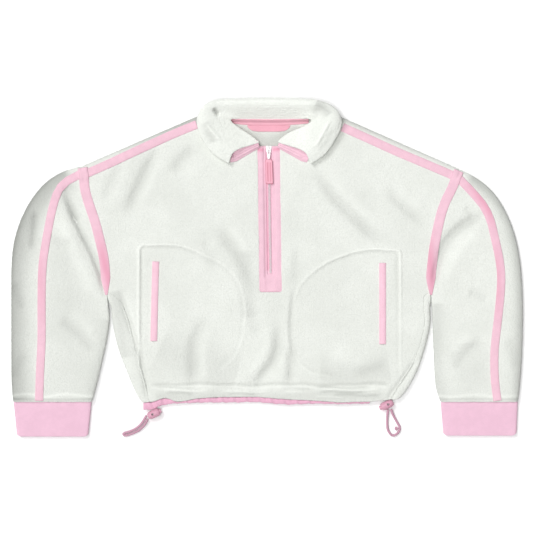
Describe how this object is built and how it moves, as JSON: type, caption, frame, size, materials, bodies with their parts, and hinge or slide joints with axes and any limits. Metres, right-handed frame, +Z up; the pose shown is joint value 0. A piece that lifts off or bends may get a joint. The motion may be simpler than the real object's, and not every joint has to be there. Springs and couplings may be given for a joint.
{
  "type": "sherpa fleece half-zip pullover, laid flat",
  "caption": "Cropped sherpa fleece pullover laid flat: open stand collar, half zip, taped seams, plain cuffs, side welt pockets and a drawcord hem.",
  "frame": {"origin": "the surface that the pullover lies on, under the middle of its outline", "axes": "+Z up out of the surface and out of the front, +Y from the hem to the collar, +X towards the wearer's left"},
  "size_m": [0.8902, 0.591, 0.0373],
  "materials": {
    "sherpa": "off-white sherpa fleece with a short nubby pile",
    "pink_trim": "smooth pink woven and jersey trims",
    "zip_teeth": "pale moulded zip teeth",
    "white_metal": "white enamelled metal",
    "pink_plastic": "soft pink moulded plastic",
    "cord": "round braided elastic cord"
  },
  "bodies": {
    "garment": {"front_body": "sherpa", "back_body": "sherpa", "sleeve_r": "sherpa", "sleeve_l": "sherpa", "collar": "sherpa", "cuff_r": "pink_trim", "cuff_l": "pink_trim", "shoulder_tape_r": "pink_trim", "shoulder_tape_l": "pink_trim", "armhole_tape_r": "pink_trim", "armhole_tape_l": "pink_trim", "sleeve_tape_r": "pink_trim", "sleeve_tape_l": "pink_trim", "welt_r": "pink_trim", "welt_l": "pink_trim", "collar_facing_r": "pink_trim", "collar_facing_l": "pink_trim", "zip_facing": "pink_trim", "neck_tape": "pink_trim", "neck_patch": "pink_trim", "hem_casing": "pink_trim", "zip_chain": "zip_teeth", "zip_slider": "white_metal", "cord_lock_r": "pink_plastic", "cord_lock_l": "pink_plastic", "drawcord_r": "cord", "drawcord_l": "cord", "cord_knot_l": "cord"},
    "zip_pull": {"zip_link": "white_metal", "zip_puller": "pink_plastic"},
    "button_r": {"lock_button_r": "pink_plastic"},
    "button_l": {"lock_button_l": "pink_plastic"}
  },
  "joints": [
    {"name": "zip_pull_swing", "type": "hinge", "parent": "garment", "child": "zip_pull", "pos_m": [0.00278, 0.20605, 0.0131], "axis": [-1, 0, 0], "range_deg": [0, 150]},
    {"name": "lock_button_r_press", "type": "slide", "parent": "garment", "child": "button_r", "axis": [-0.9063, -0.4226, 0], "range_m": [0, 0.003], "stiffness_N_per_m": 500, "springref_m": -0.002},
    {"name": "lock_button_l_press", "type": "slide", "parent": "garment", "child": "button_l", "axis": [0.9063, 0.4226, 0], "range_m": [0, 0.003], "stiffness_N_per_m": 500, "springref_m": -0.002}
  ]
}
